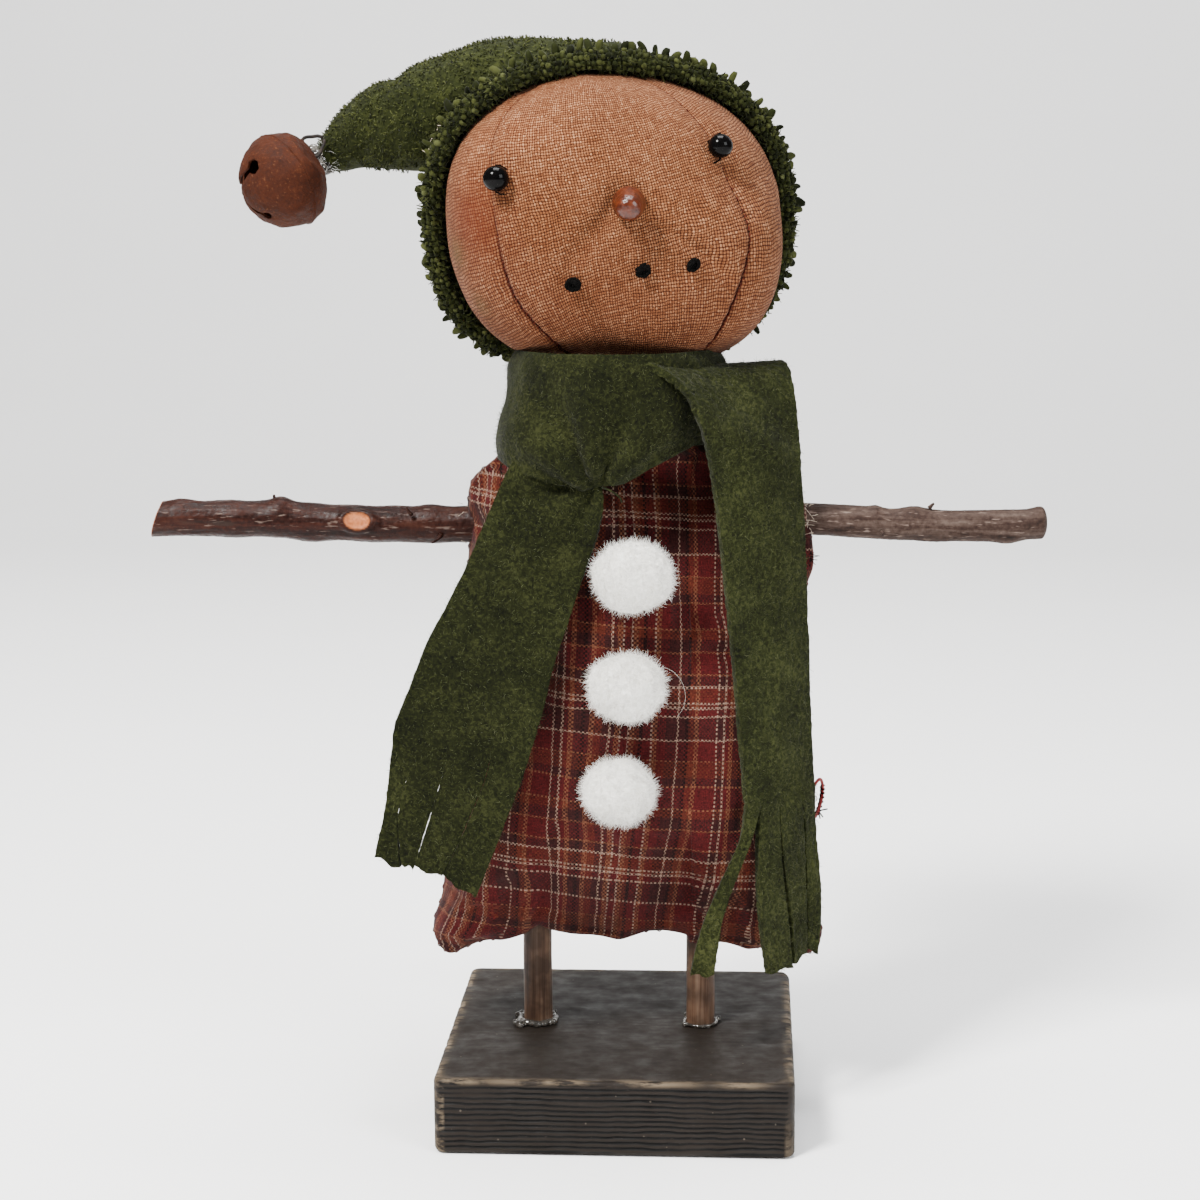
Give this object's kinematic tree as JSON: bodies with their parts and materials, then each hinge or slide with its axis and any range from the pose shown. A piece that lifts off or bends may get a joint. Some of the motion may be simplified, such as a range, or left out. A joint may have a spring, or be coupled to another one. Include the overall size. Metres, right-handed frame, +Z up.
{
  "type": "snowman figure",
  "caption": "Primitive cloth snowman doll with twig arms, felt scarf and stocking cap, standing on dowel legs in a square wooden base.",
  "frame": {"origin": "centre of the wooden base's underside", "axes": "+Z up, -Y towards the viewer (the side of the face and the pompoms), +X to the viewer's right"},
  "size_m": [0.2275, 0.089, 0.2719],
  "materials": {
    "stained_block": "dark stained, worn along the edges",
    "stained_dowel": "brown stained",
    "reddish_bark": "smooth bark, satin",
    "grey_bark": "rough bark, matte",
    "hot_glue": "milky, glossy",
    "plaid_cotton": "woven plaid, matte",
    "fibre_fill": "loose white fibre",
    "tea_dyed_linen": "coarse plain weave, matte",
    "white_wool": "fuzzy felted wool",
    "black_bead": "high gloss",
    "black_thread": "matte thread",
    "brown_nose": "satin, painted",
    "green_felt": "brushed felt",
    "green_chenille": "mottled chenille",
    "rusty_steel": "rusted",
    "dark_wire": "dark, dull",
    "red_cord": "twisted cord"
  },
  "bodies": {
    "figure": {"base_board": "stained_block", "leg_left": "stained_dowel", "leg_right": "stained_dowel", "neck_dowel": "stained_dowel", "leg_glue_left": "hot_glue", "leg_glue_right": "hot_glue", "body_front_panel": "plaid_cotton", "body_back_panel": "plaid_cotton", "body_stuffing": "fibre_fill", "head_stuffing": "fibre_fill", "arm_left": "reddish_bark", "arm_right": "grey_bark", "pompom_top": "white_wool", "pompom_middle": "white_wool", "pompom_bottom": "white_wool", "head_face_panel": "tea_dyed_linen", "head_left_panel": "tea_dyed_linen", "head_right_panel": "tea_dyed_linen", "head_back_panel": "tea_dyed_linen", "eye_left": "black_bead", "eye_right": "black_bead", "nose": "brown_nose", "mouth_stitch_left": "black_thread", "mouth_stitch_middle": "black_thread", "mouth_stitch_right": "black_thread", "hat_crown": "green_chenille", "hat_brim_roll": "green_chenille", "scarf_neck_wrap": "green_felt", "scarf_tack_stitch": "green_felt", "tag_loop": "red_cord"},
    "hat_tail": {"hat_tail": "green_chenille", "hat_tail_stuffing": "fibre_fill", "bell_upper": "rusty_steel", "bell_lower": "rusty_steel", "bell_loop": "dark_wire", "bell_glue": "hot_glue"},
    "bell_pellet": {"bell_pellet": "rusty_steel"},
    "scarf_tail_left": {"scarf_tail_left": "green_felt"},
    "scarf_tail_right": {"scarf_tail_right": "green_felt"}
  },
  "joints": [
    {"name": "hat_tail_bend", "type": "hinge", "parent": "figure", "child": "hat_tail", "pos_m": [-0.0503, 0.0046, 0.2523], "axis": [0, 1, 0], "range_deg": [-30, 20]},
    {"name": "bell_pellet_rattle", "type": "slide", "parent": "hat_tail", "child": "bell_pellet", "axis": [0, 0, 1], "range_m": [0, 0.0165]},
    {"name": "scarf_tail_left_lift", "type": "hinge", "parent": "figure", "child": "scarf_tail_left", "pos_m": [-0.015, -0.02625, 0.163], "axis": [-0.9897, 0.0236, 0.1414], "range_deg": [0, 70]},
    {"name": "scarf_tail_right_lift", "type": "hinge", "parent": "figure", "child": "scarf_tail_right", "pos_m": [0.0267, -0.0214, 0.192], "axis": [-0.8164, -0.5776, 0], "range_deg": [0, 60]}
  ]
}
